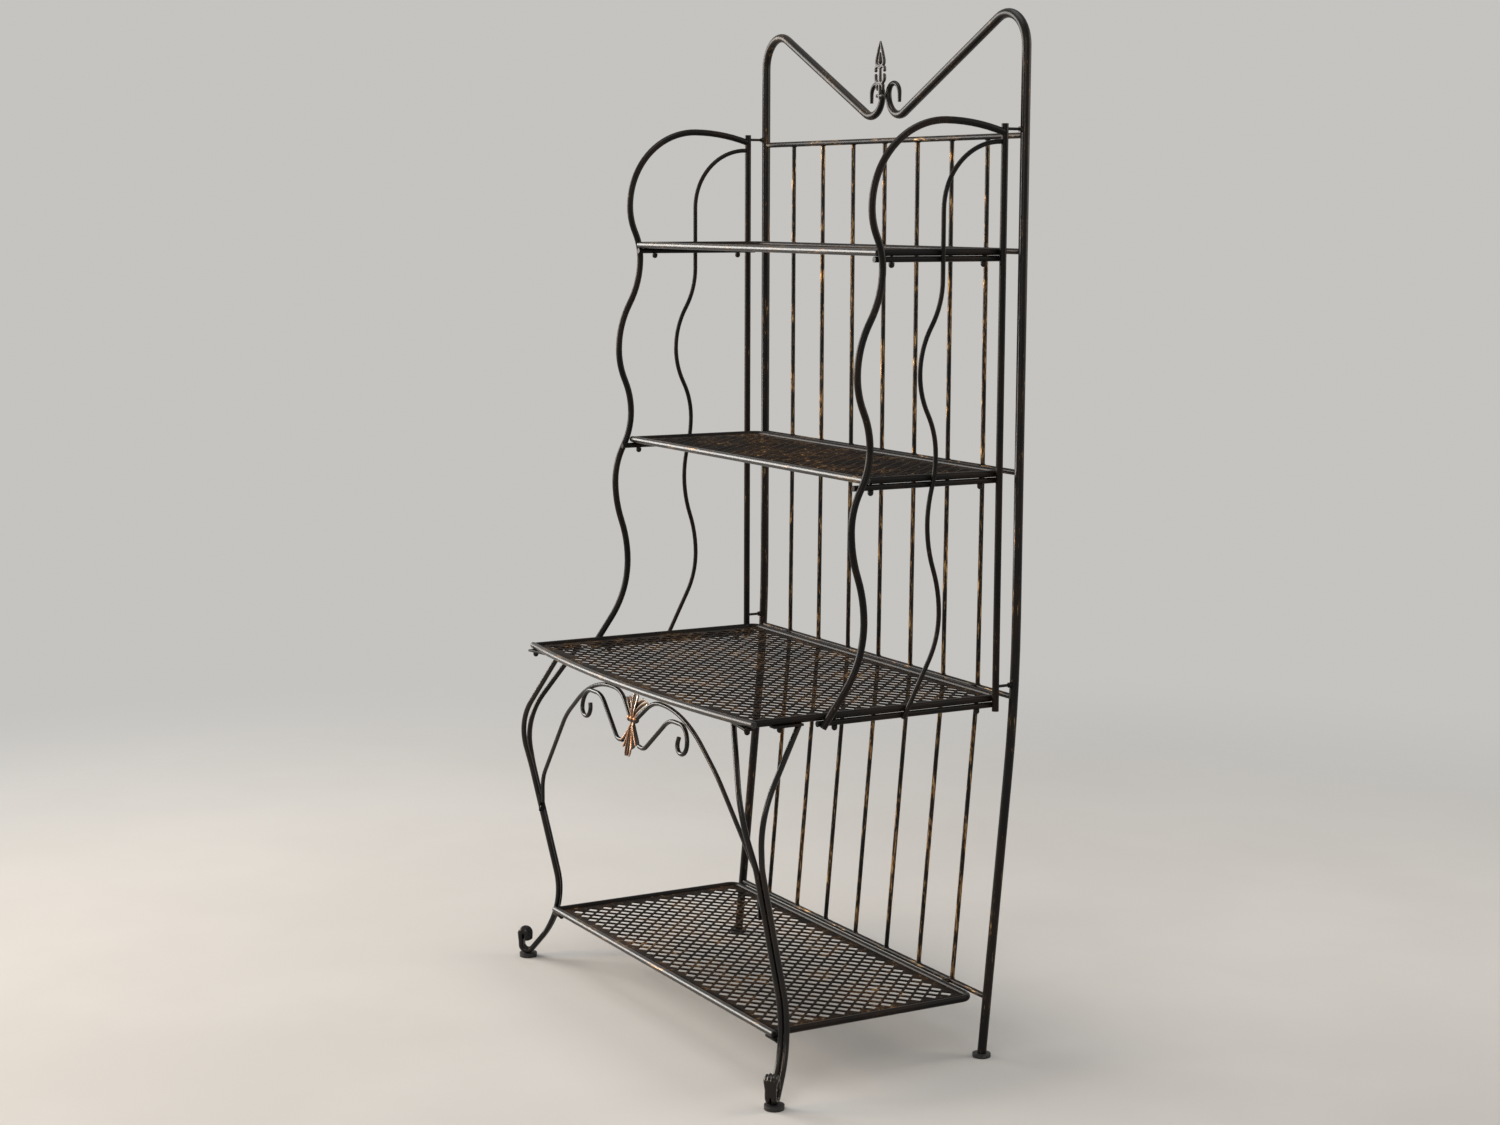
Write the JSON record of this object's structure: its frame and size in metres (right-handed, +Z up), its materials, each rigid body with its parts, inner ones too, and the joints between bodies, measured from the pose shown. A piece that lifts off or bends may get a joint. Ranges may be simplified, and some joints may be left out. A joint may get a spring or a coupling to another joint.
{
  "type": "bakers rack",
  "caption": "Wrought-iron bakers rack with spindle back, peaked crest with finial, wavy side panels, mesh shelves, a bow-front work surface, bowed legs and a scrolled apron.",
  "frame": {"origin": "on the floor under the centre of the overall box", "axes": "+X to the right seen from the front, +Y to the back, +Z up"},
  "size_m": [1.011, 0.5599, 1.7998],
  "materials": {
    "frame": "satin black with rubbed bronze",
    "spindles": "satin black with rubbed bronze",
    "front_tubes": "semi-gloss black",
    "legs": "semi-gloss black",
    "mesh": "satin brown-black",
    "castings": "antique copper over black",
    "fasteners": "satin black",
    "feet": "matt black"
  },
  "bodies": {
    "root": {"apron_arch_left": "legs", "apron_arch_right": "legs", "apron_bolts": "fasteners", "apron_lugs": "legs", "apron_ornament": "castings", "apron_scroll_left": "legs", "apron_scroll_right": "legs", "back_frame_left": "frame", "back_frame_right": "frame", "back_rail_base": "frame", "back_rail_crest": "frame", "back_rail_middle": "frame", "back_rail_top": "frame", "back_rail_work": "frame", "base_shelf_front_tube": "front_tubes", "base_shelf_mesh": "mesh", "base_shelf_rim": "frame", "bearer_middle_left": "frame", "bearer_middle_right": "frame", "bearer_top_left": "frame", "bearer_top_right": "frame", "bearer_work_left": "frame", "bearer_work_right": "frame", "cap_nuts": "fasteners", "crest_finial": "castings", "front_foot_left": "feet", "front_foot_right": "feet", "leg_front_rod_left": "legs", "leg_front_rod_right": "legs", "leg_shelf_tabs": "legs", "leg_side_rod_left": "legs", "leg_side_rod_right": "legs", "leg_top_tabs": "legs", "middle_shelf_front_tube": "front_tubes", "middle_shelf_mesh": "mesh", "middle_shelf_rim": "frame", "rear_foot_left": "feet", "rear_foot_right": "feet", "shelf_screws": "fasteners", "shelf_sleeves": "fasteners", "shelf_studs": "fasteners", "side_front_tube_left": "frame", "side_front_tube_right": "frame", "side_inner_rod_left": "frame", "side_inner_rod_right": "frame", "side_post_left": "frame", "side_post_right": "frame", "spindles_crest_bay": "spindles", "spindles_lower_bay": "spindles", "spindles_middle_bay": "spindles", "spindles_upper_bay": "spindles", "standoff_bolts": "fasteners", "standoff_nuts": "fasteners", "top_shelf_front_tube": "front_tubes", "top_shelf_mesh": "mesh", "top_shelf_rim": "frame", "work_shelf_front_tube": "front_tubes", "work_shelf_mesh": "mesh", "work_shelf_rim": "frame"}
  },
  "joints": []
}
